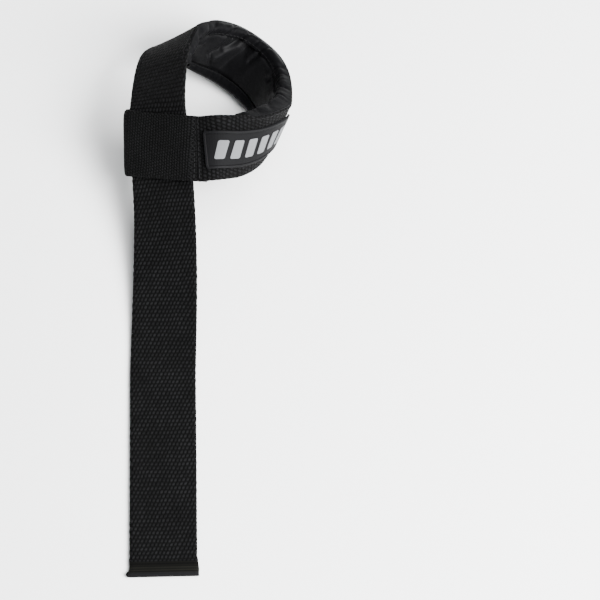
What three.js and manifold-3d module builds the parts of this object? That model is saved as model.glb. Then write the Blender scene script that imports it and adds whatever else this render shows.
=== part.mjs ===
// Weightlifting strap: a webbing tail that runs through its own sewn eye and opens into a padded wrist ring.
// Millimetres, +Z up. The tail lies along -Y on the ground, and the ring stands behind and to the right of the eye.

import * as THREE from 'three';
import { mergeVertices } from 'three/addons/utils/BufferGeometryUtils.js';
import Module from 'manifold-3d';

const wasm = await Module();
wasm.setup();

// Woven strip
const webbingWidth = 38;
const webbingThick = 2.5;
const webbingCrown = 0.1;
const selvedgeRound = 0.8;

// Tail, measured along the ground from the middle of the eye
const tailReach = 255;
const tailDrift = 6;
const rampReach = 110;

// Eye: the folded end that the tail runs through
const eyeHeight = 38;
const eyeSlope = 26;
const eyeHeading = 5;
const eyeRoll = 28;
const entryRoll = 21;
const bandSkew = 9;
const foldSkew = 4;
const eyeSlack = 1;
const foldClearance = 0.2;
const seamOffset = 6.5;
const sewnEnd = 6;

// Wrist ring
const ringSpan = 72;
const ringReach = 80;

// Padding on the inner side of the ring
const padThick = 5;
const padLength = 185;
const padStart = 26;
const bindingWall = 1;
const bindingReach = 6;
const bindingRound = 1.5;

// Rubber patch on the outer side of the band
const patchLength = 64;
const patchWidth = 21.5;
const patchThick = 1.5;
const patchRound = 0.4;
const patchStart = 4;
const patchDrop = 1.3;
const rimWidth = 1.6;
const fieldDepth = 0.7;

// Clearance between pieces that are sewn flat on each other
const seatGap = 0.3;

// The middle line of the ring from the eye over the crest, down to the ground and up to the band.
// across and back are shares of ringSpan and ringReach, foot is the height of the strip's lower edge as a
// share of eyeHeight, and rise and turn point the strip's width, in degrees from the ground and from +X.
const ringRows = [
  { across: -0.02, back: 0.3, foot: 1.03, rise: 29, turn: -10 },
  { across: 0.01, back: 0.63, foot: 1.03, rise: 34, turn: -9 },
  { across: 0.055, back: 0.78, foot: 0.94, rise: 35, turn: -5 },
  { across: 0.13, back: 0.905, foot: 0.74, rise: 41, turn: 4 },
  { across: 0.24, back: 0.97, foot: 0.46, rise: 46, turn: 18 },
  { across: 0.375, back: 0.985, foot: 0.25, rise: 45, turn: 34 },
  { across: 0.53, back: 0.965, foot: 0.1, rise: 39, turn: 43 },
  { across: 0.685, back: 0.885, foot: 0.02, rise: 38, turn: 46 },
  { across: 0.815, back: 0.77, foot: 0.002, rise: 42, turn: 46 },
  { across: 0.91, back: 0.635, foot: 0.005, rise: 49, turn: 48 },
  { across: 0.965, back: 0.49, foot: 0.065, rise: 54, turn: 50 },
  { across: 0.985, back: 0.34, foot: 0.2, rise: 56, turn: 52 },
  { across: 0.965, back: 0.205, foot: 0.37, rise: 54, turn: 51 },
  { across: 0.895, back: 0.09, foot: 0.555, rise: 57, turn: 61 },
  { across: 0.79, back: -0.005, foot: 0.72, rise: 54, turn: 73 },
  { across: 0.65, back: -0.075, foot: 0.89, rise: 47, turn: 84 },
  { across: 0.48, back: -0.105, foot: 1.03, rise: 37, turn: 89 },
];

// How many sections the sweeps take between two rows
const sectionsPerRow = 4;
const spansAcross = 5;
const sectionMerge = 0.0005;
const lengthSamples = 20;
const rampRows = 7;
const foldRows = 6;

const halfWidth = webbingWidth / 2;
const halfThick = webbingThick / 2;
const radians = THREE.MathUtils.degToRad;

// A direction given by its rise above the ground and its turn from +X
function direction(rise, turn) {
  return new THREE.Vector3(
    Math.cos(radians(rise)) * Math.cos(radians(turn)),
    Math.cos(radians(rise)) * Math.sin(radians(turn)),
    Math.sin(radians(rise)),
  );
}

// The eye's own axes: through it along the tail, across the tail, and out of its front
function eyeAxes(roll) {
  const through = direction(eyeSlope, 90 + eyeHeading);
  const level = new THREE.Vector3().crossVectors(through, new THREE.Vector3(0, 0, 1)).normalize();
  const across = level.applyAxisAngle(through, -radians(roll));
  const out = new THREE.Vector3().crossVectors(across, through);
  return { through, across, out };
}

const eyeMiddle = new THREE.Vector3(0, 0, eyeHeight);
const eye = eyeAxes(eyeRoll);

// A row of the strip: a point of its middle line and the direction of its width
function row(point, width) {
  return { point, width };
}

function tailRows() {
  const flat = direction(0, 0);
  const entry = eyeMiddle.clone().addScaledVector(eye.through, -halfWidth);
  const touch = new THREE.Vector3(0, entry.y - rampReach, halfThick);
  const driftAt = (y) => tailDrift * -y / tailReach;
  touch.x = driftAt(touch.y);
  const rows = [1, 0.85, 0.7].map((share) => {
    const y = -tailReach * share;
    return row(new THREE.Vector3(driftAt(y), y, halfThick), flat);
  });
  rows.push(row(touch.clone().add(new THREE.Vector3(0, -webbingThick, 0)), flat));
  const ramp = new THREE.CubicBezierCurve3(
    touch,
    touch.clone().add(new THREE.Vector3(0, rampReach / 3, 0)),
    entry.clone().addScaledVector(eye.through, -rampReach / 3),
    entry,
  );
  const entryWidth = eyeAxes(entryRoll).across;
  for (let i = 0; i <= rampRows; i += 1) {
    const share = i / rampRows;
    const width = flat.clone().lerp(entryWidth, THREE.MathUtils.smoothstep(share, 0, 1)).normalize();
    rows.push(row(ramp.getPoint(share), width));
  }
  return rows;
}

// The straight stretch inside the eye
function passageRows() {
  return [
    row(eyeMiddle.clone(), eye.across),
    row(eyeMiddle.clone().addScaledVector(eye.through, halfWidth * 0.8), eye.across),
  ];
}

function loopRows() {
  return ringRows.map((entry) => {
    const rise = radians(entry.rise);
    const height = entry.foot * eyeHeight + halfWidth * Math.sin(rise) + halfThick * Math.cos(rise);
    const point = new THREE.Vector3(entry.across * ringSpan, entry.back * ringReach, height);
    return row(point, direction(entry.rise, entry.turn));
  });
}

// The band over the tail, the fold round its left edge and the sewn end under it
function eyeRows() {
  const along = eye.across.clone().applyAxisAngle(eye.out, -radians(bandSkew));
  const layer = webbingThick + eyeSlack;
  const sewn = halfThick + seatGap / 2;
  const shoulder = (layer * 4 + sewn) / 5;
  // The band comes in slanted and has turned nearly square to the tail where it folds
  const at = (run, lift) => {
    const point = eyeMiddle.clone().addScaledVector(along, run).addScaledVector(eye.out, lift);
    const turned = THREE.MathUtils.smoothstep(run, -halfWidth, halfWidth + seamOffset);
    const slant = radians(THREE.MathUtils.lerp(foldSkew, bandSkew, turned));
    return row(point, eye.through.clone().applyAxisAngle(eye.out, -slant));
  };
  const front = [
    at(halfWidth + seamOffset, sewn),
    at(halfWidth + 1, shoulder),
    at(halfWidth / 2, layer),
  ];
  const fold = [];
  for (let i = 0; i <= foldRows; i += 1) {
    const angle = Math.PI * i / foldRows;
    const run = -halfWidth - foldClearance - layer * Math.sin(angle);
    fold.push(at(run, layer * Math.cos(angle)));
  }
  const back = [
    at(halfWidth / 2, -layer),
    at(halfWidth + 1, -shoulder),
    at(halfWidth + seamOffset, -sewn),
    at(halfWidth + seamOffset + sewnEnd, -sewn),
  ];
  return { front, fold, back };
}

// The strip's middle line, with a frame at each place on it
class StripPath extends THREE.CatmullRomCurve3 {
  constructor(rows) {
    super(rows.map((entry) => entry.point));
    this.widths = new THREE.CatmullRomCurve3(rows.map((entry) => entry.width), false, 'catmullrom');
    this.arcLengthDivisions = (rows.length - 1) * lengthSamples;
  }

  frameAt(share) {
    const tangent = this.getTangent(share);
    const out = new THREE.Vector3().crossVectors(this.widths.getPoint(share), tangent).normalize();
    const across = new THREE.Vector3().crossVectors(tangent, out);
    return { point: this.getPoint(share), tangent, out, across };
  }

  lengthToRow(index) {
    return this.getLengths()[index * lengthSamples];
  }

  shareAtLength(length) {
    return this.getUtoTmapping(0, length);
  }
}

// A run of the strip through a list of shares of its path, lifted off its middle plane
class StripRun extends THREE.Curve {
  constructor(path, shares, lift) {
    super();
    this.frames = shares.map((share) => path.frameAt(share));
    this.points = this.frames.map((frame) => frame.point.clone().addScaledVector(frame.out, lift));
  }

  getSpacedPoints() {
    return this.points;
  }

  computeFrenetFrames() {
    return {
      tangents: this.frames.map((frame) => frame.tangent),
      normals: this.frames.map((frame) => frame.out),
      binormals: this.frames.map((frame) => frame.across),
    };
  }
}

const tail = tailRows();
const passage = passageRows();
const loop = loopRows();
const { front, fold, back } = eyeRows();
const allRows = [...tail, ...passage, ...loop, ...front, ...fold, ...back];
const strip = new StripPath(allRows);
const seamLength = strip.lengthToRow(tail.length + passage.length + loop.length);

// Every sweep has its sections at the same places of the path, so that faces sewn on each other run parallel
function sectionShares(start, end) {
  const count = (allRows.length - 1) * sectionsPerRow;
  const shares = [start];
  for (let i = 0; i <= count; i += 1) {
    const share = i / count;
    if (share > start + sectionMerge && share < end - sectionMerge) shares.push(share);
  }
  shares.push(end);
  return shares;
}

// A section swept along a run. Its x points out of the ring and its y across the strip.
function sweep(section, start, end, lift = 0) {
  const shares = sectionShares(start, end);
  return new THREE.ExtrudeGeometry(section, {
    steps: shares.length - 1,
    curveSegments: 2,
    extrudePath: new StripRun(strip, shares, lift),
  });
}

// The share of the path that lies a distance before the seam of the eye
function beforeSeam(distance) {
  return strip.shareAtLength(seamLength - distance);
}

// How far the strip's faces swell at a distance from its middle
function crownAt(y) {
  return webbingCrown * (1 - (y / halfWidth) ** 2);
}

// Draws a face across the strip in a few spans: x is its place at the selvedge and swell the way it bulges
function drawFace(shape, x, swell, from, to) {
  for (let i = 1; i <= spansAcross; i += 1) {
    const y = THREE.MathUtils.lerp(from, to, i / spansAcross);
    shape.lineTo(x + swell * crownAt(y), y);
  }
}

function solidOf(geometry) {
  const bare = geometry.clone();
  bare.deleteAttribute('normal');
  bare.deleteAttribute('uv');
  const merged = mergeVertices(bare, 1e-4);
  return new wasm.Manifold(new wasm.Mesh({
    numProp: 3,
    vertProperties: new Float32Array(merged.attributes.position.array),
    triVerts: new Uint32Array(merged.index.array),
  }));
}

function geometryOf(solid) {
  const mesh = solid.getMesh();
  const geometry = new THREE.BufferGeometry();
  geometry.setAttribute('position', new THREE.BufferAttribute(mesh.vertProperties, 3));
  geometry.setIndex(new THREE.BufferAttribute(mesh.triVerts, 1));
  geometry.computeVertexNormals();
  return geometry;
}

function makeWebbing() {
  const edge = halfWidth - selvedgeRound;
  const side = halfThick - selvedgeRound;
  const shape = new THREE.Shape();
  shape.moveTo(-side, -halfWidth);
  shape.lineTo(side, -halfWidth);
  shape.lineTo(halfThick + crownAt(edge), -edge);
  drawFace(shape, halfThick, 1, -edge, edge);
  shape.lineTo(side, halfWidth);
  shape.lineTo(-side, halfWidth);
  shape.lineTo(-halfThick - crownAt(edge), edge);
  drawFace(shape, -halfThick, -1, edge, -edge);
  return sweep(shape, 0, 1);
}

// The pad's core stops short of the strip's edges, and a rebate on its inner face takes the binding
const padEdge = halfWidth - bindingWall - seatGap;
const rebateEdge = padEdge - bindingReach;
const padSeat = -halfThick - seatGap;
const padShares = [beforeSeam(padStart + padLength), beforeSeam(padStart)];

function makePad() {
  const rebate = -padThick + bindingWall + seatGap;
  const shape = new THREE.Shape();
  shape.moveTo(-crownAt(padEdge), -padEdge);
  drawFace(shape, 0, -1, -padEdge, padEdge);
  shape.lineTo(rebate, padEdge);
  shape.lineTo(rebate, rebateEdge);
  shape.lineTo(-padThick, rebateEdge);
  shape.lineTo(-padThick, -rebateEdge);
  shape.lineTo(rebate, -rebateEdge);
  shape.lineTo(rebate, -padEdge);
  return sweep(shape, ...padShares, padSeat);
}

// Folded tape over one long edge of the pad: side is 1 at the upper edge and -1 at the lower one
function makeBinding(side) {
  const inner = -padThick + bindingWall;
  const shape = new THREE.Shape();
  shape.moveTo(0, side * (halfWidth - bindingWall));
  shape.lineTo(0, side * halfWidth);
  shape.lineTo(-padThick + bindingRound, side * halfWidth);
  shape.quadraticCurveTo(-padThick, side * halfWidth, -padThick, side * (halfWidth - bindingRound));
  shape.lineTo(-padThick, side * (rebateEdge + seatGap));
  shape.lineTo(inner, side * (rebateEdge + seatGap));
  shape.lineTo(inner, side * (halfWidth - bindingWall));
  return sweep(shape, ...padShares, padSeat);
}

// The moulded patch is a plate with a sunk field, which leaves a rim all round
function makePatch() {
  const seat = halfThick + seatGap;
  const upper = patchWidth / 2 - patchDrop;
  const lower = -patchWidth / 2 - patchDrop;
  const shares = [beforeSeam(patchStart + patchLength), beforeSeam(patchStart)];
  const plateShape = new THREE.Shape();
  plateShape.moveTo(crownAt(upper), upper);
  drawFace(plateShape, 0, 1, upper, lower);
  plateShape.lineTo(patchThick - patchRound, lower);
  plateShape.lineTo(patchThick, lower + patchRound);
  drawFace(plateShape, patchThick, 1, lower + patchRound, upper - patchRound);
  plateShape.lineTo(patchThick - patchRound, upper);
  const plate = sweep(plateShape, ...shares, seat);
  const fieldShares = [
    beforeSeam(patchStart + patchLength - rimWidth),
    beforeSeam(patchStart + rimWidth),
  ];
  const fieldShape = new THREE.Shape();
  fieldShape.moveTo(patchThick - fieldDepth + crownAt(upper - rimWidth), upper - rimWidth);
  drawFace(fieldShape, patchThick - fieldDepth, 1, upper - rimWidth, lower + rimWidth);
  fieldShape.lineTo(patchThick + fieldDepth, lower + rimWidth);
  fieldShape.lineTo(patchThick + fieldDepth, upper - rimWidth);
  const field = sweep(fieldShape, ...fieldShares, seat);
  return geometryOf(solidOf(plate).subtract(solidOf(field)));
}

const black = { metalness: 0 };
const webbingCloth = new THREE.MeshStandardMaterial({ color: '#1a1a1c', roughness: 0.9, ...black });
const liningCloth = new THREE.MeshStandardMaterial({ color: '#2b2b2c', roughness: 0.6, ...black });
const bindingCloth = new THREE.MeshStandardMaterial({ color: '#29292a', roughness: 0.65, ...black });
const patchRubber = new THREE.MeshStandardMaterial({ color: '#3a3a3b', roughness: 0.45, ...black });

const strap = new THREE.Group();

function addPiece(name, geometry, material) {
  const mesh = new THREE.Mesh(geometry, material);
  mesh.name = name;
  strap.add(mesh);
}

addPiece('strap_webbing', makeWebbing(), webbingCloth);
addPiece('wrist_pad', makePad(), liningCloth);
addPiece('pad_binding_upper', makeBinding(1), bindingCloth);
addPiece('pad_binding_lower', makeBinding(-1), bindingCloth);
addPiece('rubber_patch', makePatch(), patchRubber);

// The origin is on the ground under the middle of the whole strap
const bounds = new THREE.Box3().setFromObject(strap, true);
const middle = bounds.getCenter(new THREE.Vector3());
strap.position.set(-middle.x, -middle.y, -bounds.min.z);

export default strap;
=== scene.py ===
import math

import bmesh
import bpy
from mathutils import Matrix, Quaternion, Vector, noise


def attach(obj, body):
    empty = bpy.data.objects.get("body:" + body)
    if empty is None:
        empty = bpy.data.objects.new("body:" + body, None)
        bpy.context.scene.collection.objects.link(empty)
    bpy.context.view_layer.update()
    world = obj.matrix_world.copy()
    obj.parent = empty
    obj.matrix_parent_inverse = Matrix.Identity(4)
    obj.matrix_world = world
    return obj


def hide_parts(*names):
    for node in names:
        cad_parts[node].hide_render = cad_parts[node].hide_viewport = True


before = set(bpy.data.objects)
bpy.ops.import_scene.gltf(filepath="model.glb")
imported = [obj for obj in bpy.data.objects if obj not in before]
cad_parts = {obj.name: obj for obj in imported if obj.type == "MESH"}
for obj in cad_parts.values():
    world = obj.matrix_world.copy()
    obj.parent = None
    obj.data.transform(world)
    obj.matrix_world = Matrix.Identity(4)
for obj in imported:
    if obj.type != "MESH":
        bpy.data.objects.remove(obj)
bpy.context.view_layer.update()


# Webbing strap
# One strip of woven black cotton, 38 mm wide and 2.5 mm thick. The tail runs up through the eye and the ring
# comes round over it as the band. The end is folded round the tail and sewn back on the band.

mm = 0.001
webbing_width = 38 * mm
webbing_thick = 2.5 * mm
half_width = webbing_width / 2
half_thick = webbing_thick / 2

# The tail lies flat and drifts a little sideways, and a ramp takes it up into the eye
tail_reach = 255 * mm
tail_drift = 6 * mm
flat_shares = (1, 0.85, 0.7)
ramp_reach = 110 * mm
ramp_rows = 7

# The eye: the height of its middle, its angles in degrees, and how far the path goes straight on behind it
eye_height = 38 * mm
eye_slope = 26
eye_heading = 5
eye_roll = 28
entry_roll = 21
straight_on = half_width * 0.8

# The band and the fold: their skews in degrees, and the room between the layers
band_skew = 9
fold_skew = 4
eye_slack = 1 * mm
fold_clearance = 0.2 * mm
fold_rows = 6
seam_offset = 6.5 * mm
sewn_end = 6 * mm
seat_gap = 0.3 * mm
shoulder_step = 1 * mm
shoulder_drop = 0.2

# Where the ground point under the middle of the eye lies in the part's frame
under_eye = Vector((-28.025, 83.46, 0.113)) * mm

# The middle line of the ring, as in the solids: shares of the ring's span, reach and eye height, and degrees
ring_span = 72 * mm
ring_reach = 80 * mm
ring_rows = [
    {"across": -0.02, "back": 0.3, "foot": 1.03, "rise": 29, "turn": -10},
    {"across": 0.01, "back": 0.63, "foot": 1.03, "rise": 34, "turn": -9},
    {"across": 0.055, "back": 0.78, "foot": 0.94, "rise": 35, "turn": -5},
    {"across": 0.13, "back": 0.905, "foot": 0.74, "rise": 41, "turn": 4},
    {"across": 0.24, "back": 0.97, "foot": 0.46, "rise": 46, "turn": 18},
    {"across": 0.375, "back": 0.985, "foot": 0.25, "rise": 45, "turn": 34},
    {"across": 0.53, "back": 0.965, "foot": 0.1, "rise": 39, "turn": 43},
    {"across": 0.685, "back": 0.885, "foot": 0.02, "rise": 38, "turn": 46},
    {"across": 0.815, "back": 0.77, "foot": 0.002, "rise": 42, "turn": 46},
    {"across": 0.91, "back": 0.635, "foot": 0.005, "rise": 49, "turn": 48},
    {"across": 0.965, "back": 0.49, "foot": 0.065, "rise": 54, "turn": 50},
    {"across": 0.985, "back": 0.34, "foot": 0.2, "rise": 56, "turn": 52},
    {"across": 0.965, "back": 0.205, "foot": 0.37, "rise": 54, "turn": 51},
    {"across": 0.895, "back": 0.09, "foot": 0.555, "rise": 57, "turn": 61},
    {"across": 0.79, "back": -0.005, "foot": 0.72, "rise": 54, "turn": 73},
    {"across": 0.65, "back": -0.075, "foot": 0.89, "rise": 47, "turn": 84},
    {"across": 0.48, "back": -0.105, "foot": 1.03, "rise": 37, "turn": 89},
]


def direction(rise, turn):
    """A direction from its rise above the ground and its turn from +X, in degrees."""
    rise, turn = math.radians(rise), math.radians(turn)
    return Vector((math.cos(rise) * math.cos(turn), math.cos(rise) * math.sin(turn), math.sin(rise)))


def smooth(share):
    """An S-curve from 0 to 1."""
    share = min(1.0, max(0.0, share))
    return share * share * (3 - 2 * share)


def eye_axes(roll):
    """The eye's own axes: through it along the tail, across the tail, and out of its front."""
    through = direction(eye_slope, 90 + eye_heading)
    level = through.cross(Vector((0, 0, 1))).normalized()
    across = Quaternion(through, -math.radians(roll)) @ level
    return through, across, across.cross(through)


eye_through, eye_across, eye_out = eye_axes(eye_roll)
eye_middle = Vector((0, 0, eye_height))


def tail_path():
    """The tail, flat on the ground and up a ramp into the eye. A row is a point and a width direction."""
    flat = Vector((1, 0, 0))
    entry = eye_middle - eye_through * half_width
    touch = Vector((0, entry.y - ramp_reach, half_thick))
    touch.x = tail_drift * -touch.y / tail_reach
    rows = []
    for share in flat_shares:
        rows.append((Vector((tail_drift * share, -tail_reach * share, half_thick)), flat))
    rows.append((touch - Vector((0, webbing_thick, 0)), flat))
    pull = touch + Vector((0, ramp_reach / 3, 0))
    push = entry - eye_through * ramp_reach / 3
    entry_width = eye_axes(entry_roll)[1]
    for i in range(ramp_rows + 1):
        t = i / ramp_rows
        low = touch * (1 - t) ** 3 + pull * 3 * t * (1 - t) ** 2
        high = push * 3 * t * t * (1 - t) + entry * t ** 3
        rows.append((low + high, flat.lerp(entry_width, smooth(t)).normalized()))
    rows.append((eye_middle.copy(), eye_across))
    rows.append((eye_middle + eye_through * straight_on, eye_across))
    return rows


def ring_path():
    """The ring's rows, set on their lower edge."""
    rows = []
    for row in ring_rows:
        rise = math.radians(row["rise"])
        height = row["foot"] * eye_height + half_width * math.sin(rise) + half_thick * math.cos(rise)
        point = Vector((row["across"] * ring_span, row["back"] * ring_reach, height))
        rows.append((point, direction(row["rise"], row["turn"])))
    return rows


def eye_path():
    """The band over the tail, the fold round its left edge and the sewn end under it."""
    along = Quaternion(eye_out, -math.radians(band_skew)) @ eye_across
    layer = webbing_thick + eye_slack
    sewn = half_thick + seat_gap / 2
    shoulder = layer + (sewn - layer) * shoulder_drop
    seam = half_width + seam_offset
    places = [(seam, sewn), (half_width + shoulder_step, shoulder), (half_width / 2, layer)]
    for i in range(fold_rows + 1):
        angle = math.pi * i / fold_rows
        places.append((-half_width - fold_clearance - layer * math.sin(angle), layer * math.cos(angle)))
    places.append((half_width / 2, -layer))
    places.append((half_width + shoulder_step, -shoulder))
    places.append((seam, -sewn))
    places.append((seam + sewn_end, -sewn))
    rows = []
    for run, lift in places:
        turned = smooth((run + half_width) / (webbing_width + seam_offset))
        slant = math.radians(fold_skew + (band_skew - fold_skew) * turned)
        rows.append((eye_middle + along * run + eye_out * lift, Quaternion(eye_out, -slant) @ eye_through))
    return rows


path_rows = tail_path() + ring_path() + eye_path()
seam_row = len(tail_path()) + len(ring_path())
path_points = [under_eye + point for point, width in path_rows]
path_widths = [width for point, width in path_rows]


def spline(points, share, centripetal):
    """A Catmull-Rom curve through the points, at a share of their rows."""
    last = len(points) - 1
    place = min(max(share, 0.0), 1.0) * last
    index = min(int(place), last - 1)
    weight = place - index
    p1, p2 = points[index], points[index + 1]
    p0 = points[index - 1] if index else p1 * 2 - p2
    p3 = points[index + 2] if index + 2 <= last else p2 * 2 - p1
    if centripetal:
        d0, d1, d2 = ((b - a).length ** 0.5 for a, b in ((p0, p1), (p1, p2), (p2, p3)))
        leave = ((p1 - p0) / d0 - (p2 - p0) / (d0 + d1) + (p2 - p1) / d1) * d1
        arrive = ((p2 - p1) / d1 - (p3 - p1) / (d1 + d2) + (p3 - p2) / d2) * d1
    else:
        leave, arrive = (p2 - p0) / 2, (p3 - p1) / 2
    square, cube = weight ** 2, weight ** 3
    return (p1 * (2 * cube - 3 * square + 1) + leave * (cube - 2 * square + weight)
            + p2 * (3 * square - 2 * cube) + arrive * (cube - square))


# Lengths along the strip, measured from the tail's cut end
samples_per_row = 24
sample_count = (len(path_rows) - 1) * samples_per_row
length_table = [0.0]
for i in range(sample_count):
    step = spline(path_points, (i + 1) / sample_count, True) - spline(path_points, i / sample_count, True)
    length_table.append(length_table[-1] + step.length)
strip_length = length_table[-1]
seam_length = length_table[seam_row * samples_per_row]


def strip_frame(length):
    """The strip's middle point, its outward direction and its width direction at a length along it."""
    low, high = 0, sample_count
    while high - low > 1:
        middle = (low + high) // 2
        low, high = (middle, high) if length_table[middle] <= length else (low, middle)
    share = (low + (length - length_table[low]) / (length_table[high] - length_table[low])) / sample_count
    nudge = 0.0004
    tangent = spline(path_points, share + nudge, True) - spline(path_points, share - nudge, True)
    tangent.normalize()
    out = spline(path_widths, share, False).cross(tangent).normalized()
    return spline(path_points, share, True), out, tangent.cross(out)


def lay_on_strip(name, shape):
    """Bends a flat shape along the strip: x is the length, y the side and z the lift. It makes the object."""
    frames = {}
    for vert in shape.verts:
        length, side, lift = vert.co
        # Vertices at one length share a frame
        key = round(length, 5)
        if key not in frames:
            frames[key] = strip_frame(length)
        point, out, across = frames[key]
        vert.co = point + out * lift + across * side
    bmesh.ops.recalc_face_normals(shape, faces=shape.faces)
    mesh = bpy.data.meshes.new(name)
    shape.to_mesh(mesh)
    shape.free()
    for polygon in mesh.polygons:
        polygon.use_smooth = True
    piece = bpy.data.objects.new(name, mesh)
    bpy.context.collection.objects.link(piece)
    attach(piece, "root")
    return piece


def cloth_grid(start, end, rings, columns, outline, girth):
    """A flat sheet whose columns follow outline(turn, length), with its own flat lengths as UV."""
    shape = bmesh.new()
    flat = shape.loops.layers.uv.new("cloth")
    bmesh.ops.create_grid(shape, x_segments=columns, y_segments=rings, size=0.5, calc_uvs=True)
    for vert in shape.verts:
        length = start + (end - start) * (vert.co.y + 0.5)
        lift, side = outline(vert.co.x + 0.5, length)
        vert.co = (length, side, lift)
    for face in shape.faces:
        for loop in face.loops:
            loop[flat].uv = (loop[flat].uv.x * girth, start + loop[flat].uv.y * (end - start))
    return shape


def close_sleeve(shape):
    """Joins the long edges of a sheet that was rolled up and closes its two ends."""
    bmesh.ops.remove_doubles(shape, verts=shape.verts, dist=1e-6)
    bmesh.ops.holes_fill(shape, edges=[edge for edge in shape.edges if edge.is_boundary], sides=0)
    return shape


def bar_outline(turn, width, thick, corner):
    """The outline of a bar with round corners, at a share of its girth: lift and side."""
    arc = math.pi / 2 * corner
    runs = [(width - 2 * corner, False), (arc, True), (thick - 2 * corner, False), (arc, True)] * 2
    left = turn * sum(size for size, bends in runs)
    lift, side, heading = thick / 2, corner - width / 2, 0.0
    for size, bends in runs:
        part = min(left, size)
        if bends:
            turned = heading - part / corner
            side += (math.sin(heading) - math.sin(turned)) * corner
            lift += (math.cos(turned) - math.cos(heading)) * corner
            heading = turned
        else:
            side += math.cos(heading) * part
            lift += math.sin(heading) * part
        left -= part
    return lift, side


def unevenness(length, side, height, size, stretch, seed):
    """Smooth random unevenness up to a height, in patches of about a size. A low stretch draws them out."""
    return height * noise.noise(Vector((length / size, side * stretch / size, seed)))


def hump(place, height, middle, reach):
    """A smooth hump of a height at its middle, which fades over its reach."""
    return height * math.exp(-((place - middle) / reach) ** 2)


def between(length, start, fade_in, end, fade_out):
    """1 between two lengths, fading to 0 towards each of them."""
    return smooth((length - start) / fade_in) * smooth((end - length) / fade_out)


# The woven edges are drawn in by every second weft thread, and they wander a little
selvedge_corner = 1 * mm
webbing_girth = 2 * (webbing_width + webbing_thick) - (8 - 2 * math.pi) * selvedge_corner
pick_spacing = 2.45 * mm
scallop_depth = 0.16 * mm
edge_wander = {"height": 0.3 * mm, "size": 15 * mm, "stretch": 1, "seed": 3}

# The tail's end is pressed flat and ribbed, its last edge is rolled and its corners are splayed.
# A hump is a height, a middle and a reach
end_length = 9.4 * mm
end_thinning = 0.2
end_roll = (0.25, 1.2 * mm, 1 * mm)
rib_spacing = 1.5 * mm
rib_height = 0.14 * mm
left_splay = (2.1 * mm, 1.4 * mm, 1.8 * mm)
right_splay = (1.1 * mm, 4 * mm, 6 * mm)
right_tip = 0.5 * mm
right_tip_reach = 1 * mm

# Where the webbing turns round the tail, its upper edge stands a little higher and its corners are rounded
fold_turn = seam_length + 50 * mm
fold_rise = (1.3 * mm, fold_turn, 10 * mm)
corner_wear = (1.5 * mm, fold_turn, 4 * mm)

# Under the upper tape the webbing's edge is drawn in: start, fade, end and fade along the strip
edge_tuck = 1.5 * mm
tucked = (seam_length - 207 * mm, 15 * mm, seam_length - 28 * mm, 12 * mm)


def webbing_outline(turn, length):
    """The strip's section at a length along it."""
    lift, side = bar_outline(turn, webbing_width, webbing_thick, selvedge_corner)
    edge = abs(side) / half_width
    pressed = smooth((1 - length / end_length) * 4)
    scallop = scallop_depth * math.cos(math.pi * length / pick_spacing) * (1 - pressed)
    wander = unevenness(length, math.copysign(half_width, side), **edge_wander)
    if side < 0:
        splay = hump(length, *left_splay)
    else:
        splay = hump(length, *right_splay) + right_tip * math.exp(-length / right_tip_reach)
    side += math.copysign((scallop + wander + splay) * edge ** 8, side)
    if side > 0:
        side -= edge_tuck * between(length, *tucked) * edge ** 4
        side += hump(length, *fold_rise) * edge ** 2
    worn = hump(length, *corner_wear) * edge ** 8
    ribs = rib_height * math.sin(2 * math.pi * length / rib_spacing) * pressed * (1 - edge ** 6)
    plump = 1 - end_thinning * pressed + hump(length, *end_roll)
    return lift * plump + math.copysign(ribs, lift) - worn, side


webbing_shape = cloth_grid(0.0, strip_length, 760, 64, webbing_outline, webbing_girth)
webbing = lay_on_strip("webbing_strip", close_sleeve(webbing_shape))
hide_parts("strap_webbing")


def hex_colour(code):
    """An sRGB hex colour as linear values."""
    channels = [int(code[i:i + 2], 16) / 255 for i in (1, 3, 5)]
    return (*(c / 12.92 if c <= 0.04045 else ((c + 0.055) / 1.055) ** 2.4 for c in channels), 1.0)


def add_node(tree, kind, inputs=(), out=0, **settings):
    """Adds a node with its settings and inputs, each a value or a link, and returns one of its outputs."""
    made = tree.nodes.new(kind)
    for key, value in settings.items():
        setattr(made, key, value)
    for socket, value in dict(inputs).items():
        if isinstance(value, bpy.types.NodeSocket):
            tree.links.new(value, made.inputs[socket])
        else:
            made.inputs[socket].default_value = value
    return made.outputs[out]


def dress(piece, name, settings):
    """Gives a piece a new material with constant shader settings. Returns its tree and shader."""
    material = bpy.data.materials.new(name)
    material.use_nodes = True
    shader = material.node_tree.nodes["Principled BSDF"]
    for socket, value in settings.items():
        shader.inputs[socket].default_value = value
    piece.data.materials.append(material)
    return material.node_tree, shader


# Woven black cotton is matt. Each warp thread floats up as a knuckle between two weft threads, in staggered
# rows. On the sewn fold the knuckles are finer and step sideways from row to row, so that they read as
# slanting lines. The fibres are too fine to show, so their grain is drawn coarser.
warp_spacing = 2.26 * mm
fold_spacing = 1.7 * mm
fold_step = 0.3
thread_wander = 1.6 * mm
wander_size = 11.1 * mm
cell_to_knuckle = (2.0, 1.9, 0)
knuckle_lean = 0.34
knuckle_height = 0.6 * mm
knuckle_least = 0.4
knuckle_spread = 0.55
fold_highlight_cut = 0.35
fibre_relief = 0.25
fade_size = 22.2 * mm
fibre_size = 0.385 * mm
# Painted colours: the hollows between the knuckles carry painted shade and the knuckle tops a painted
# highlight
hollow_shade_black = hex_colour("#030303")
knuckle_highlight_black = hex_colour("#111112")

tree, shader = dress(webbing, "woven_cotton", {
    "Roughness": 0.85, "Specular IOR Level": 0.05, "Sheen Weight": 0.01, "Sheen Roughness": 0.4,
})
place = add_node(tree, "ShaderNodeUVMap", uv_map="cloth")
along = add_node(tree, "ShaderNodeSeparateXYZ", {0: place}, out=1)
folded = add_node(tree, "ShaderNodeMath", {0: along, 1: seam_length}, operation="GREATER_THAN")

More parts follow.
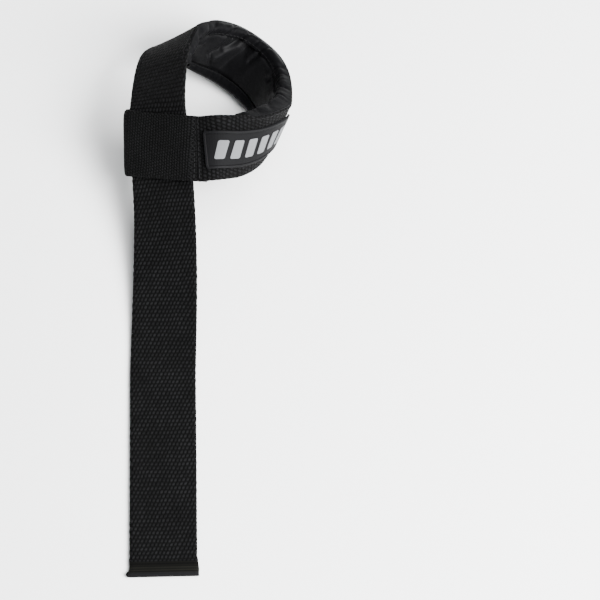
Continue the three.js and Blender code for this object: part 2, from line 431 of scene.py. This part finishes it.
# The threads, counted across and along, and moved a little from their straight lines
wobble = add_node(tree, "ShaderNodeTexNoise", {
    "Vector": place, "Scale": 1 / wander_size, "Detail": 2.0,
}, out=1)
wobble = add_node(tree, "ShaderNodeVectorMath", {0: wobble, 1: (0.5, 0.5, 0.5)}, operation="SUBTRACT")
moved = add_node(tree, "ShaderNodeVectorMath", {0: wobble, 1: (thread_wander, thread_wander, 0), 2: place},
                 operation="MULTIPLY_ADD")
counts = add_node(tree, "ShaderNodeMix", {
    0: folded, 4: (1 / warp_spacing, 1 / pick_spacing, 0), 5: (1 / fold_spacing, 1 / fold_spacing, 0),
}, out=1, data_type="VECTOR")
threads = add_node(tree, "ShaderNodeVectorMath", {0: moved, 1: counts}, operation="MULTIPLY")
warp = add_node(tree, "ShaderNodeSeparateXYZ", {0: threads})
pick = add_node(tree, "ShaderNodeSeparateXYZ", {0: threads}, out=1)
pick_row = add_node(tree, "ShaderNodeMath", {0: pick}, operation="FLOOR")
stagger = add_node(tree, "ShaderNodeMath", {0: pick_row, 1: 2.0}, operation="FLOORED_MODULO")
stagger = add_node(tree, "ShaderNodeMath", {0: stagger, 1: 0.5}, operation="MULTIPLY")
slanting = add_node(tree, "ShaderNodeMath", {0: pick_row, 1: fold_step}, operation="MULTIPLY")
shift = add_node(tree, "ShaderNodeMix", {0: folded, 2: stagger, 3: slanting})
shift = add_node(tree, "ShaderNodeMath", {0: shift, 1: warp}, operation="ADD")
cell = add_node(tree, "ShaderNodeCombineXYZ", {0: shift, 1: pick})

# One leaning oval knuckle in each cell, 1 at its middle and 0 at its rim
inside = add_node(tree, "ShaderNodeVectorMath", {0: cell}, operation="FRACTION")
inside = add_node(tree, "ShaderNodeVectorMath", {0: inside, 1: (0.5, 0.5, 0)}, operation="SUBTRACT")
inside = add_node(tree, "ShaderNodeVectorMath", {0: inside, 1: cell_to_knuckle}, operation="MULTIPLY")
lean = add_node(tree, "ShaderNodeSeparateXYZ", {0: inside}, out=1)
lean = add_node(tree, "ShaderNodeMath", {0: lean, 1: -knuckle_lean}, operation="MULTIPLY")
lean = add_node(tree, "ShaderNodeCombineXYZ", {0: lean})
inside = add_node(tree, "ShaderNodeVectorMath", {0: inside, 1: lean}, operation="ADD")
spread = add_node(tree, "ShaderNodeVectorMath", {0: inside, 1: inside}, out=1, operation="DOT_PRODUCT")
knuckle = add_node(tree, "ShaderNodeMapRange", {0: spread, 1: 0.0, 2: 1.0, 3: 1.0, 4: 0.0},
                   interpolation_type="SMOOTHSTEP")

# The painted highlight on the knuckles varies at random in strength from knuckle to knuckle, and is weaker on
# the fold
which = add_node(tree, "ShaderNodeVectorMath", {0: cell}, operation="FLOOR")
chance = add_node(tree, "ShaderNodeTexWhiteNoise", {"Vector": which}, noise_dimensions="2D")
lit = add_node(tree, "ShaderNodeMath", {0: chance, 1: knuckle_spread, 2: knuckle_least},
               operation="MULTIPLY_ADD")
lit = add_node(tree, "ShaderNodeMath", {0: lit, 1: knuckle}, operation="MULTIPLY")
fold_highlight_share = add_node(tree, "ShaderNodeMath", {0: folded, 1: -fold_highlight_cut, 2: 1.0}, operation="MULTIPLY_ADD")
lit = add_node(tree, "ShaderNodeMath", {0: lit, 1: fold_highlight_share}, operation="MULTIPLY")
# Painted highlight on each knuckle's top, fading to painted shade in the hollows at its rim
cotton = add_node(tree, "ShaderNodeMix", {0: lit, 6: hollow_shade_black, 7: knuckle_highlight_black}, out=2, data_type="RGBA")

# The pressed end shows its weft as close flat lines and has a faint olive cast. Its cut edge is grey
end_start = end_length * 0.85
cut_edge = (1.6 * mm, 2.4 * mm)
close_weave = (5.5 * mm, 6.5 * mm)
shaded_weave = 0.35
at_end = add_node(tree, "ShaderNodeMapRange", {0: along, 1: end_length, 2: end_start, 3: 0.0, 4: 1.0},
                  interpolation_type="SMOOTHSTEP")
lines = add_node(tree, "ShaderNodeMath", {0: along, 1: 2 * math.pi / rib_spacing}, operation="MULTIPLY")
lines = add_node(tree, "ShaderNodeMath", {0: lines}, operation="SINE")
lines = add_node(tree, "ShaderNodeMapRange", {0: lines, 1: -1.0, 2: 1.0, 3: 0.0, 4: 1.0})
end_tone = add_node(tree, "ShaderNodeMix", {0: lines, 6: hex_colour("#020202"), 7: hex_colour("#10100d")},
                    out=2, data_type="RGBA")
near_cut = add_node(tree, "ShaderNodeMapRange", {0: along, 1: cut_edge[0], 2: cut_edge[1], 3: 1.0, 4: 0.0})
end_tone = add_node(tree, "ShaderNodeMix", {0: near_cut, 6: end_tone, 7: hex_colour("#0d0d0e")},
                    out=2, data_type="RGBA")
shade = add_node(tree, "ShaderNodeMapRange", {
    0: along, 1: close_weave[0], 2: close_weave[1], 3: 1.0, 4: shaded_weave,
})
end_tone = add_node(tree, "ShaderNodeVectorMath", {0: end_tone, "Scale": shade}, operation="SCALE")
cloth = add_node(tree, "ShaderNodeMix", {0: at_end, 6: cotton, 7: end_tone}, out=2, data_type="RGBA")

# Broad fading and the grain of the fibres over all of it, and the relief of the knuckles
fibre = add_node(tree, "ShaderNodeTexNoise", {
    "Vector": place, "Scale": 1 / fibre_size, "Detail": 3.0, "Roughness": 0.7,
})
broad = add_node(tree, "ShaderNodeTexNoise", {"Vector": place, "Scale": 1 / fade_size, "Detail": 3.0})
fade = add_node(tree, "ShaderNodeMapRange", {0: broad, 1: 0.3, 2: 0.7, 3: 0.75, 4: 1.25})
grain = add_node(tree, "ShaderNodeMapRange", {0: fibre, 1: 0.3, 2: 0.7, 3: 0.7, 4: 1.3})
fade = add_node(tree, "ShaderNodeMath", {0: fade, 1: grain}, operation="MULTIPLY")
cloth = add_node(tree, "ShaderNodeVectorMath", {0: cloth, "Scale": fade}, operation="SCALE")
tree.links.new(cloth, shader.inputs["Base Color"])
relief = add_node(tree, "ShaderNodeMath", {0: 1.0, 1: at_end}, operation="SUBTRACT")
relief = add_node(tree, "ShaderNodeMath", {0: relief, 1: knuckle}, operation="MULTIPLY")
relief = add_node(tree, "ShaderNodeMath", {0: fibre, 1: fibre_relief, 2: relief}, operation="MULTIPLY_ADD")
bump = add_node(tree, "ShaderNodeBump", {"Height": relief, "Distance": knuckle_height, "Strength": 0.9})
tree.links.new(bump, shader.inputs["Normal"])


# Wrist pad
# A foam strip covered with smooth black nylon, sewn on the inner side of the ring. The cover is loose, so it
# bulges, puckers towards its sewn edges and falls into creases where the ring bends.

pad_thick = 5 * mm
pad_width = 35.4 * mm
half_pad = pad_width / 2
pad_end = seam_length - 26 * mm
pad_start = pad_end - 185 * mm
pad_seat = -half_thick - seat_gap
pad_rounding = 1.5 * mm
pad_girth = 2 * (pad_width + pad_thick)

# The cover is crowned along its middle, pressed down under the tapes and pinched at both ends. Where the
# press begins and how it fades are shares of the pad's half width
crown = 0.9 * mm
press = 1.5 * mm
press_from = 0.6
press_fade = 0.2
pinch = 0.2
pinch_reach = 9 * mm

# The loose cover's broad and fine waves, and the puckers along its two sewn edges
broad_waves = {"height": 0.7 * mm, "size": 17 * mm, "stretch": 0.6, "seed": 5}
fine_waves = {"height": 0.25 * mm, "size": 6 * mm, "stretch": 0.5, "seed": 9}
puckers = {"height": 0.5 * mm, "size": 3.6 * mm, "stretch": 0}
upper_puckers = 11
lower_puckers = 17

# Creases in the cover: distance before the seam and side of both ends, half width and depth, in mm
creases = [
    (188, 17, 180, 11, 1.3, 3.0),
    (198, 5, 166, 13, 2.4, 1.9),
    (203, 0, 186, -13, 2.0, 1.6),
    (180, 6, 160, -12, 2.6, 1.9),
    (155, -3, 139, 13, 2.3, 2.7),
    (151, 3, 147, 13, 1.4, 1.8),
    (154, -2, 149, -11, 0.8, 1.0),
    (120, 15, 126, 3, 1.6, 1.2),
    (100, 16, 104, 6, 1.5, 1.2),
    (80, 15, 86, 4, 1.5, 1.0),
]

# A crease fades over a quarter of its line and runs on a little past its ends. The cloth that it takes stands
# up as a ridge beside it: height, middle and reach as shares of the crease's depth and half width
crease_taper = 0.25
crease_run_on = 0.1
crease_ridge = (0.55, 2.2, math.sqrt(2.5))

# The one sharp valley where the ring turns back: the same measures, with the reach of its flanks
valley_start = Vector((132.5, 12))
valley_end = Vector((141.5, -13))
valley_reach = 15
valley_depth = 4.8
valley_sharpness = 1.3

# The pad is thickest where it comes forward to the band, as a hump along the strip
plump_part = (3.6 * mm, seam_length - 58 * mm, 26 * mm)


def from_line(point, start, end):
    """How far a flat point lies beside a line, and 1 along the line that fades past its ends."""
    line = end - start
    share = (point - start).dot(line) / line.length_squared
    from_end = 0.5 - abs(share - 0.5)
    return line.cross(point - start) / line.length, smooth((from_end + crease_run_on) / crease_taper)


def folds(length, side):
    """The height of the loose cover above the even foam."""
    height = unevenness(length, side, **broad_waves) + unevenness(length, side, **fine_waves)
    seed = upper_puckers if side > 0 else lower_puckers
    height += unevenness(length, side, **puckers, seed=seed) * (side / half_pad) ** 2
    here = Vector(((seam_length - length) / mm, side / mm))
    for start_x, start_y, end_x, end_y, half, depth in creases:
        gap, fade = from_line(here, Vector((start_x, start_y)), Vector((end_x, end_y)))
        height -= depth * mm * fade * (hump(gap / half, 1, 0, 1) - hump(gap / half, *crease_ridge))
    gap = abs(from_line(here, valley_start, valley_end)[0]) / valley_reach
    return height - valley_depth * mm * max(0.0, 1 - gap) ** valley_sharpness


def plumpness(length, side):
    """The extra height of the pad's upper half near the band."""
    return hump(length, *plump_part) * smooth(0.5 + side / pad_width)


def pad_outline(turn, length):
    """The pad's section at a length along the strip."""
    lift, side = bar_outline(turn, pad_width, pad_thick, pad_rounding)
    inner = 0.5 - lift / pad_thick
    edge = abs(side) / half_pad
    pressed = smooth((edge - press_from) / press_fade)
    height = pad_thick + (1 - edge ** 2) * crown - pressed * press
    height += folds(length, side) * (1 - edge ** 4) + plumpness(length, side)
    from_end = min(length - pad_start, pad_end - length)
    height *= 1 - pinch + pinch * smooth(from_end / pinch_reach)
    return pad_seat - inner * height, side


pad_shape = cloth_grid(pad_start, pad_end, 330, 120, pad_outline, pad_girth)
pad = lay_on_strip("nylon_pad", close_sleeve(pad_shape))
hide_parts("wrist_pad")

# Smooth black nylon taffeta has a soft satin light along its folds. Its threads are too fine to show and are
# drawn coarser: the wave pattern makes a band at every pi / 10 of its scaled length.
taffeta_spacing = 0.748 * mm
taffeta_scale = math.pi / 10 / taffeta_spacing
taffeta_crumple = 3.85 * mm
taffeta_height = 0.35 * mm
thread_relief = 0.12

tree, shader = dress(pad, "smooth_nylon", {
    "Base Color": hex_colour("#09090a"), "Roughness": 0.52, "Specular IOR Level": 0.06,
    "Sheen Weight": 0.01, "Sheen Roughness": 0.35,
})
place = add_node(tree, "ShaderNodeUVMap", uv_map="cloth")
warp = add_node(tree, "ShaderNodeTexWave", {"Vector": place, "Scale": taffeta_scale}, out=1,
                bands_direction="X")
weft = add_node(tree, "ShaderNodeTexWave", {"Vector": place, "Scale": taffeta_scale}, out=1,
                bands_direction="Y")
crumple = add_node(tree, "ShaderNodeTexNoise", {"Vector": place, "Scale": 1 / taffeta_crumple, "Detail": 4.0})
relief = add_node(tree, "ShaderNodeMath", {0: warp, 1: weft}, operation="ADD")
relief = add_node(tree, "ShaderNodeMath", {0: relief, 1: thread_relief, 2: crumple}, operation="MULTIPLY_ADD")
bump = add_node(tree, "ShaderNodeBump", {"Height": relief, "Distance": taffeta_height, "Strength": 0.6})
tree.links.new(bump, shader.inputs["Normal"])


# Binding tapes
# Folded nylon tape over both long edges of the pad. It is sewn down through pad and webbing, and the thread
# draws it into fine puckers, with a deeper pleat about every centimetre.

# The room for the tape as in the solids, the cloth's own thickness, and how it turns over the pad's edge
tape_wall = 1 * mm
tape_cloth = 0.8 * mm
tape_reach = 6 * mm
tape_turn = 2.4 * mm
tape_girth = 11 * mm

# Away from its ends the upper tape stands out past the webbing's edge and covers a part of it
tape_overhang = 0.1 * mm
tape_tuck = 0.6 * mm
tape_cover = 2.2 * mm
tape_shown = (pad_start, 20 * mm, pad_end, 8 * mm)

# Pleats of the upper tape: distance before the seam, half width and depth, in mm
pleats = [
    (202, 1.6, 0.8), (184, 2.2, 1.9), (172, 1.2, 0.5), (163, 1.8, 0.9), (146, 1.5, 1.3), (134, 2.4, 1.9),
    (124, 1.1, 0.5), (117, 1.4, 0.9), (101, 2.2, 1.7), (94, 1.0, 0.5), (78, 1.9, 1.6), (66, 1.2, 0.6),
    (47, 1.6, 0.9), (38, 1.0, 0.4),
]
pleat_slant = 0.5
pleat_rise = 0.5 * mm

# Fine gathers in both tapes, soft waves in the upper one and broad gathers in the lower one
fine_gathers = {"height": 0.3 * mm, "size": 3.2 * mm, "stretch": 0.4}
soft_waves = {"height": 0.7 * mm, "size": 8 * mm, "stretch": 0.6, "seed": 41}
broad_gathers = {"height": 1.2 * mm, "size": 9 * mm, "stretch": 0, "seed": 33}
gather_rise = 0.36 * mm
gather_seed = 25
upper_bulge = 0.8
lower_bulge = 0.4


def pleat_swell(length, run):
    """How far the upper tape stands out between its pleats, and how far each pleat draws it in."""
    before = (seam_length - length - run * pleat_slant) / mm
    drawn = sum(hump(before, depth, middle, half) for middle, half, depth in pleats)
    return pleat_rise - drawn * mm + unevenness(length, run, **soft_waves)


def tape_outline(upper):
    """The section of the tape over one edge, as a sheet that solidifies to its thickness."""
    def outline(turn, length):
        shown = between(length, *tape_shown) if upper > 0 else 0.0
        overhang = tape_overhang * shown - tape_tuck * (1 - shown) if upper > 0 else 0.0
        edge = half_width - tape_wall / 2 + overhang
        reach = tape_reach + overhang - tape_turn
        bottom = pad_seat - pad_thick + tape_wall / 2 - plumpness(length, upper * half_pad)
        start = pad_seat + tape_cover * shown
        wall = start - bottom - tape_turn
        arc = math.pi / 2 * tape_turn
        run = turn * (wall + arc + reach)
        swell = unevenness(length, run, **fine_gathers, seed=gather_seed * upper)
        if upper > 0:
            swell += pleat_swell(length, run)
        else:
            swell += gather_rise - abs(unevenness(length, 0, **broad_gathers))
        angle = min(max((run - wall) / arc, 0.0), 1.0) * math.pi / 2
        lift = start - min(run, wall) - tape_turn * math.sin(angle)
        side = edge - tape_turn * (1 - math.cos(angle)) - max(run - wall - arc, 0.0)
        lift -= swell * math.sin(angle) * (0.5 + 0.5 * turn)
        side += swell * math.cos(angle) * smooth(run / wall) * (upper_bulge if upper > 0 else lower_bulge)
        return lift, side * upper
    return outline


tapes = []
for name, node, upper in (("tape_upper", "pad_binding_upper", 1), ("tape_lower", "pad_binding_lower", -1)):
    tape_shape = cloth_grid(pad_start, pad_end, 420, 20, tape_outline(upper), tape_girth)
    bmesh.ops.recalc_face_normals(tape_shape, faces=tape_shape.faces)
    bmesh.ops.solidify(tape_shape, geom=tape_shape.faces, thickness=tape_cloth)
    tape = lay_on_strip(name, tape_shape)
    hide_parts(node)
    tapes.append(tape)

# Black nylon tape is duller and darker than the taffeta, with a fine crumple where it is folded
tape_crumple = 2 * mm
tape_crumple_height = 0.3 * mm

tree, shader = dress(tapes[0], "folded_tape", {
    "Base Color": hex_colour("#050506"), "Roughness": 0.6, "Specular IOR Level": 0.04, "Sheen Weight": 0.005,
})
place = add_node(tree, "ShaderNodeUVMap", uv_map="cloth")
crumple = add_node(tree, "ShaderNodeTexNoise", {"Vector": place, "Scale": 1 / tape_crumple, "Detail": 4.0})
bump = add_node(tree, "ShaderNodeBump", {"Height": crumple, "Distance": tape_crumple_height, "Strength": 0.6})
tree.links.new(bump, shader.inputs["Normal"])
tapes[1].data.materials.append(tapes[0].data.materials[0])


# Rubber patch
# A moulded dark grey rubber label on the front of the band: a raised rim, a groove inside it and a slightly
# lower field with a row of plain light bars. It is sewn on along the groove.

patch_length = 62.4 * mm
patch_width = 22.2 * mm
patch_thick = 1.5 * mm
patch_inset = 5.6 * mm
patch_middle = seam_length - patch_inset - patch_length / 2
patch_drop = 0.9 * mm
patch_seat = half_thick + seat_gap
corner_cut = 0.5 * mm
rim_round = 0.4 * mm
# Steps from the outer wall over the rim and the groove to the field: how far each goes inwards and how far up
rim_steps = [(0.15 * mm, 0.25 * mm), (0.25 * mm, 0.15 * mm), (0.85 * mm, 0.0), (0.25 * mm, -0.15 * mm),
             (0.15 * mm, -0.75 * mm), (0.5 * mm, 0.0), (0.2 * mm, 0.55 * mm)]

patch_shape = bmesh.new()
bmesh.ops.create_grid(patch_shape, x_segments=48, y_segments=12, size=0.5)
bmesh.ops.scale(patch_shape, verts=patch_shape.verts, vec=(patch_length, patch_width, 1))
for vert in patch_shape.verts:
    if len(vert.link_edges) == 2:
        vert.co.x -= math.copysign(corner_cut, vert.co.x)
        vert.co.y -= math.copysign(corner_cut, vert.co.y)
top = bmesh.ops.extrude_face_region(patch_shape, geom=patch_shape.faces[:])["geom"]
field = [item for item in top if isinstance(item, bmesh.types.BMFace)]
bmesh.ops.translate(patch_shape, verts=[item for item in top if isinstance(item, bmesh.types.BMVert)],
                    vec=(0, 0, patch_thick - rim_round))
bmesh.ops.recalc_face_normals(patch_shape, faces=patch_shape.faces)
for inwards, up in rim_steps:
    bmesh.ops.inset_region(patch_shape, faces=field, thickness=inwards, depth=0, use_even_offset=True)
    stepped = list({vert for face in field for vert in face.verts})
    bmesh.ops.translate(patch_shape, verts=stepped, vec=(0, 0, up))
bmesh.ops.translate(patch_shape, verts=patch_shape.verts, vec=(patch_middle, -patch_drop, patch_seat))
sunk = set(field)
field_marks = [1 if face in sunk else 0 for face in patch_shape.faces]
patch = lay_on_strip("rubber_label", patch_shape)
for polygon in patch.data.polygons:
    polygon.use_smooth = False
    polygon.material_index = field_marks[polygon.index]
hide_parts("rubber_patch")

# Moulded soft rubber: its rim was polished in the mould and takes a faint light, and its field is dull
dress(patch, "moulded_rubber", {
    "Base Color": hex_colour("#0e0e0f"), "Roughness": 0.6, "Specular IOR Level": 0.06,
})
dress(patch, "dull_field", {
    "Base Color": hex_colour("#0d0d0e"), "Roughness": 0.65, "Specular IOR Level": 0.04,
})

# The bars stand out of the field and are cut into slices, so that they can bend with the strip
bar_count = 6
bar_pitch = 8.8 * mm
bar_size = Vector((5.6 * mm, 11 * mm, 0.45 * mm))
bar_corner = 1 * mm
bar_slant = 0.25
bar_slices = 4
bar_lift = 0.1 * mm
field_top = patch_seat + patch_thick - rim_round + sum(up for inwards, up in rim_steps)

bars_shape = bmesh.new()
for i in range(bar_count):
    moved_bar = Matrix.Translation(((i - (bar_count - 1) / 2) * bar_pitch, 0, 0))
    bmesh.ops.create_cube(bars_shape, size=1, matrix=moved_bar @ Matrix.Diagonal((*bar_size, 1)))
upright = [edge for edge in bars_shape.edges
           if abs((edge.verts[0].co - edge.verts[1].co).normalized().z) > 0.9]
bmesh.ops.bevel(bars_shape, geom=upright, offset=bar_corner, segments=4, profile=0.5, affect="EDGES",
                material=-1)
for i in range(bar_count * bar_slices):
    cut = (i - (bar_count * bar_slices - 1) / 2) * bar_pitch / bar_slices
    bmesh.ops.bisect_plane(bars_shape, geom=bars_shape.verts[:] + bars_shape.edges[:] + bars_shape.faces[:],
                           plane_co=(cut, 0, 0), plane_no=(1, 0, 0))
for vert in bars_shape.verts:
    vert.co.x -= vert.co.y * bar_slant
bmesh.ops.translate(bars_shape, verts=bars_shape.verts, vec=(patch_middle, -patch_drop, field_top + bar_lift))
bars = lay_on_strip("label_bars", bars_shape)
for polygon in bars.data.polygons:
    polygon.use_smooth = False

# The raised bars are printed over in light grey, plain and matt
dress(bars, "printed_bars", {
    "Base Color": hex_colour("#5f6062"), "Roughness": 0.8, "Specular IOR Level": 0.1,
})


# Stitching
# Black polyester thread. Running stitches go along both edges of the pad and show outside and inside, and two
# rows with a zigzag hold the folded end of the webbing.

thread_thick = 0.5 * mm
thread_rounding = thread_thick * 0.4
stitch_pitch = 3.2 * mm
stitch_length = 2.5 * mm
stitch_tilt = 0.05
outer_row = half_width - 2.6 * mm
inner_row = half_width - 5 * mm
inner_sink = 0.15 * mm
seam_rows = (-1.2 * mm, 1.2 * mm)
zigzag_offset = 3.4 * mm
zigzag_shares = (-0.25, 0.25)
zigzag_tilt = 1.1
pad_tack = 2 * mm
stitches_across = 11
thread_shape = bmesh.new()


def add_stitch(length, side, lift, angle):
    """One stitch: a small thread bead half in the cloth, turned by an angle from the strip's length."""
    turned = Matrix.Translation((length, side, lift)) @ Matrix.Rotation(angle, 4, "Z")
    size = Matrix.Diagonal((stitch_length, thread_thick, thread_thick, 1))
    bmesh.ops.create_cube(thread_shape, size=1, matrix=turned @ size)


for i in range(int((pad_end - pad_start) / stitch_pitch)):
    length = pad_start + (i + 0.5) * stitch_pitch
    tilt = stitch_tilt * (-1) ** i
    for upper in (1, -1):
        add_stitch(length, upper * outer_row, half_thick, tilt)
        add_stitch(length, upper * inner_row, pad_seat - pad_thick - inner_sink, tilt)

for i in range(stitches_across):
    side = (i - (stitches_across - 1) / 2) * stitch_pitch
    for offset in seam_rows:
        add_stitch(seam_length + offset, side, half_thick, math.pi / 2)
    for share in zigzag_shares:
        tilt = math.copysign(zigzag_tilt, share)
        add_stitch(seam_length + zigzag_offset, side + share * stitch_pitch, half_thick, math.pi / 2 + tilt)
    add_stitch(pad_start + pad_tack, side, half_thick, math.pi / 2)

bmesh.ops.bevel(thread_shape, geom=thread_shape.edges[:], offset=thread_rounding, segments=2, profile=0.5,
                affect="EDGES", material=-1)
stitching = lay_on_strip("stitching", thread_shape)

# Twisted polyester thread: black, and a little shinier than the cotton
dress(stitching, "black_thread", {
    "Base Color": hex_colour("#080809"), "Roughness": 0.6, "Specular IOR Level": 0.1,
})


# Table, light and camera
# A plain pale table under soft studio light, seen steeply from the tail's end as in the photograph.

table_half = 4.0
table_drop = 0.2 * mm
table_shape = bmesh.new()
bmesh.ops.create_grid(table_shape, x_segments=1, y_segments=1, size=table_half)
bmesh.ops.translate(table_shape, verts=table_shape.verts, vec=(0, 0, -table_drop))
table_mesh = bpy.data.meshes.new("table")
table_shape.to_mesh(table_mesh)
table_shape.free()
table = bpy.data.objects.new("table", table_mesh)
bpy.context.collection.objects.link(table)
dress(table, "pale_table", {
    "Base Color": hex_colour("#f7f8f8"), "Roughness": 0.9, "Specular IOR Level": 0.2,
})

# Square soft lamps that point at the ring: name, place, size and power in watts
lamp_aim = Vector((0, 0.05, 0.02))
softboxes = [
    ("key_softbox", Vector((0.9, -0.5, 0.95)), 0.9, 112),
    ("top_softbox", Vector((0.6, 0.15, 1.35)), 1.2, 34),
]
for name, lamp_place, size, power in softboxes:
    lamp = bpy.data.lights.new(name, "AREA")
    lamp.size = size
    lamp.energy = power
    holder = bpy.data.objects.new(name, lamp)
    holder.location = lamp_place
    holder.rotation_euler = (lamp_aim - lamp_place).to_track_quat("-Z", "Y").to_euler()
    bpy.context.collection.objects.link(holder)

studio_colour = hex_colour("#f4f6f8")
studio_strength = 0.45
studio = bpy.data.worlds.new("studio")
studio.use_nodes = True
backdrop = studio.node_tree.nodes["Background"]
backdrop.inputs["Color"].default_value = studio_colour
backdrop.inputs["Strength"].default_value = studio_strength
bpy.context.scene.world = studio

view_middle = Vector((54.415, 1.18, 0.11)) * mm
view_distance = 1.6
view_elevation = math.radians(64)
view_lens = 163.2
sensor_width = 36
view_direction = Vector((0, -math.cos(view_elevation), math.sin(view_elevation)))
camera_data = bpy.data.cameras.new("camera")
camera_data.lens = view_lens
camera_data.sensor_width = sensor_width
camera = bpy.data.objects.new("camera", camera_data)
camera.location = view_middle + view_direction * view_distance
camera.rotation_euler = (math.pi / 2 - view_elevation, 0, 0)
bpy.context.collection.objects.link(camera)
bpy.context.scene.camera = camera
